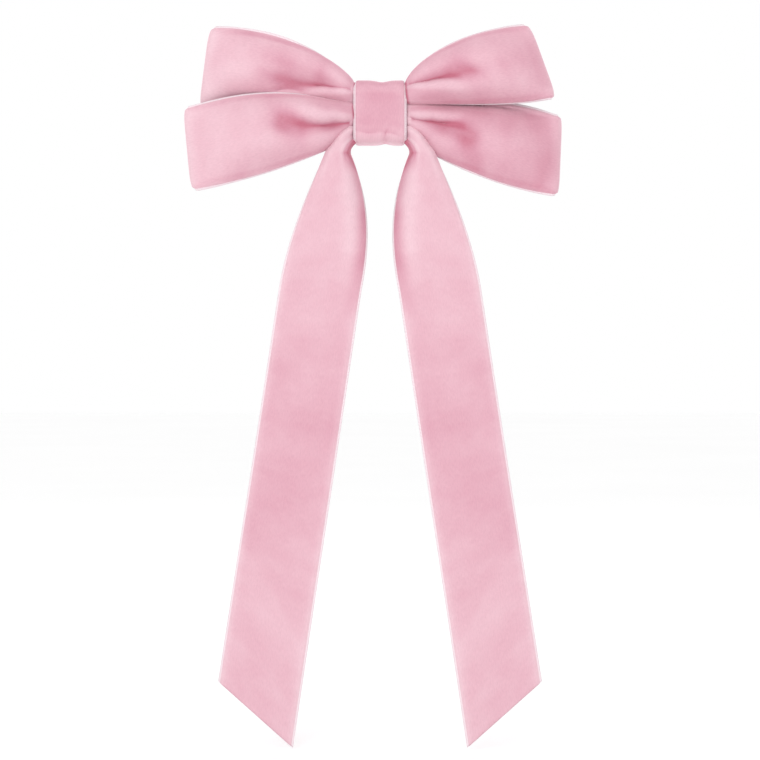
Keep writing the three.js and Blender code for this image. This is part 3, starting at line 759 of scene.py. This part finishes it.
def tail_edge(gathered, flared, end):
    """One edge of the left tail, as x and z from inside the knot down to the cut."""
    top, middle = bezier(gathered, GATHER), bezier(flared, FLARE)
    lower = middle[-1] + (np.array(end) - middle[-1]) * FALL[:, None]
    return np.vstack([top, middle, lower])


def tail_face(q):
    """x and z of the left tail, out past the knot's side and down to the slanted cut."""
    outer = tail_edge(
        [(-1.0, -3.6), (-9.6, -1.6), (-12.0, -7.4), (-15.7, -12)],
        [(-15.7, -12), (-19.5, -20), (-27.2, -36), (-29.8, TAIL_STRAIGHT)],
        (tail_lo[0], tail_lo[2] + CUT_RISE))
    inner = tail_edge(
        [(-1.0, -7.6), (-7.4, -7.9), (-9.7, -9.9), (-9.0, -12.6)],
        [(-9.0, -12.6), (-5.2, -20.6), (-1.6, -33), (-5.4, TAIL_STRAIGHT)],
        (tail_lo[0] + CUT_WIDTH, tail_lo[2]))
    grid = outer[:, None, :] * (1 - q)[None, :, None] + inner[:, None, :] * q[None, :, None]
    return grid[..., 0], grid[..., 1]


def tail_depth(z, run, q):
    """How far forward a tail lies, by height, share of the way down and place across."""
    t = np.clip((z - TAIL_PIVOT[2]) / (tail_lo[2] - TAIL_PIVOT[2]), 0, 1)
    y = TAIL_PIVOT[1] - 1.1 * np.sin(3 * np.pi * t) * (1 - 0.5 * t)
    # Inside the knot it lies behind the band's front, then comes forward over the lower lobe.
    y = y + 1.7 * (1 - smooth(run, 0.018 + 0.02 * q, 0.04 + 0.045 * q))
    y = y - 1.0 * smooth(run, 0.03 + 0.02 * q, 0.06 + 0.04 * q) * (1 - smooth(run, 0.15, 0.4))
    # The gathered top is arched, with its edges turned back, and opens out below.
    arch = 3.4 * smooth(run, 0.035, 0.1) * (1 - smooth(run, 0.16, 0.42))
    y = y - 0.35 * arch * np.sin(np.pi * q) + arch * np.clip((q - 0.6) / 0.4, 0, 1) ** 2.2
    curled = 0.15 * arch + 1.1 * smooth(run, 0.03, 0.05) * (1 - smooth(run, 0.1, 0.2))
    y = y + curled * np.clip((0.2 - q) / 0.2, 0, 1) ** 1.6
    below = smooth(run, 0.12, 0.2) * (1 - smooth(run, 0.26, 0.46))
    y = y + 2.2 * below * np.clip((q - 0.7) / 0.3, 0, 1) ** 2
    folds = (1 - smooth(run, 0.06, 0.17)) * smooth(run, 0.0, 0.05)
    return y + folds * (0.2 * np.cos(2 * np.pi * 1.6 * q + 0.8) + 0.6 * np.exp(-(((q - 0.7) / 0.07) ** 2)))


def tail_grid(q, side):
    """A tail on one side (-1 left, 1 right); q runs from its outer to its inner edge."""
    x, z = tail_face(q)
    run = np.concatenate([0.1 * GATHER, 0.1 + 0.3 * FLARE, 0.4 + 0.6 * FALL])[:, None]
    y = tail_depth(z, run, q[None, :])
    return np.stack([-x if side > 0 else x, y, z], -1)


def tail_painted_light(z, q):
    """Painted light on a tail, by height and place across: paler at the top and at the bottom, with painted
    shade between.
    """
    painted_light = 0.3 + 0.22 * smooth(z, -75, -45) - 0.12 * smooth(-z, 70, 100) + 0.3 * smooth(-z, 110, 150)
    # Painted shade on the inner side, where it curls round under the knot and turns away from the light.
    painted_light = painted_light - 1.3 * smooth(z, -64, -40) * smooth(q, 0.78, 0.98)[None, :]
    return painted_light - 1.5 * smooth(z, -20, -12) * smooth(q, 0.6, 0.85)[None, :]


for side, word in ((-1, "left"), (1, "right")):
    grid = tail_grid(q, side)
    painted_light = tail_painted_light(grid[..., 2], q)
    piece, length = ribbon("ribbon_tail_" + word, grid, q, flip=side > 0, painted_light=painted_light)
    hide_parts("tail_" + word, "tail_gather_" + word)
    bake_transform(piece)

# ---------------------------------------------------------------- the clip and the thread

steel = plated_steel("nickel_plate", (0.66, 0.66, 0.68), (60, 1400, 1400), 0.3)
spring = plated_steel("spring_plate", (0.56, 0.56, 0.58), (90, 1800, 1800), 0.26)
thread = spun_thread("sewing_thread", (0.75, 0.4, 0.48))
LOOKS = {
    "top_plate": steel, "clasp_arm": steel, "hinge_pin": steel, "catch_rivet": steel,
    "tension_leaf": spring, "catch_base": spring, "catch_leg_upper": spring, "catch_leg_lower": spring,
    "binding_thread": thread,
}
for name, look in LOOKS.items():
    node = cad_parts[name]
    node.data.materials.clear()
    node.data.materials.append(look)

# ---------------------------------------------------------------- floor

FAR = 6.0  # m to the floor's edges
low = cad_box[0][2] - 0.001
floor_mesh = bpy.data.meshes.new("floor")
corners = [(-FAR, -FAR, low), (FAR, -FAR, low), (FAR, FAR, low), (-FAR, FAR, low)]
floor_mesh.from_pydata(corners, [], [(0, 1, 2, 3)])
floor = bpy.data.objects.new("floor", floor_mesh)
scene.collection.objects.link(floor)
paper = Nodes("paper")
speck = paper.node("ShaderNodeTexNoise", Scale=40.0, Detail=2.0)
tone = paper.ramp(speck, [(0.3, (0.978, 0.978, 0.978)), (0.7, (0.992, 0.992, 0.992))])
paper.link(tone, "Color", paper.shader, "Base Color")
paper.set(Roughness=0.9)
floor_mesh.materials.append(paper.material)
